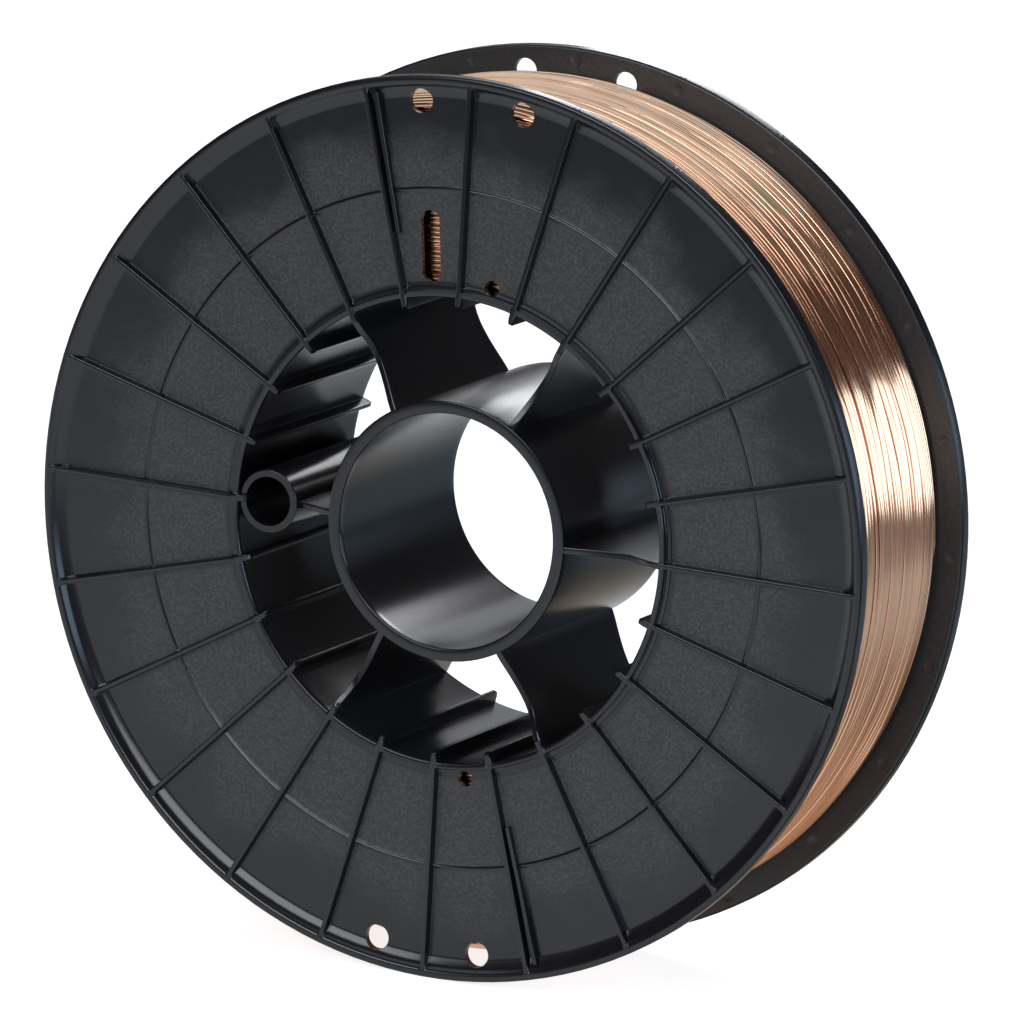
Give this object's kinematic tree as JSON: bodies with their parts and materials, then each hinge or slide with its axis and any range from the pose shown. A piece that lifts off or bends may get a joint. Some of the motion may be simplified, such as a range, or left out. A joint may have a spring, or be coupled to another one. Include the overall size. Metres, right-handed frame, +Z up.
{
  "type": "welding wire spool",
  "caption": "Black ribbed plastic spool with a hub tube, webs and a driving-pin socket, wound with copper-coated welding wire.",
  "frame": {"origin": "on the floor under the middle of the spool, which stands on the rims of its two flanges", "axes": "+Z up, Y along the spool's axis with the front flange towards -Y, +X to the right seen from the front; the axis is 0.1 m above the origin and the driving-pin socket is on its -X side"},
  "size_m": [0.2, 0.055, 0.2],
  "materials": {
    "spool_plastic": "black moulded plastic, satin with a fine grain on the flange panels",
    "coppered_wire": "bright drawn steel wire with a thin copper coat"
  },
  "bodies": {
    "root": {"spool_body": "spool_plastic", "wire_coil": "coppered_wire"}
  },
  "joints": []
}
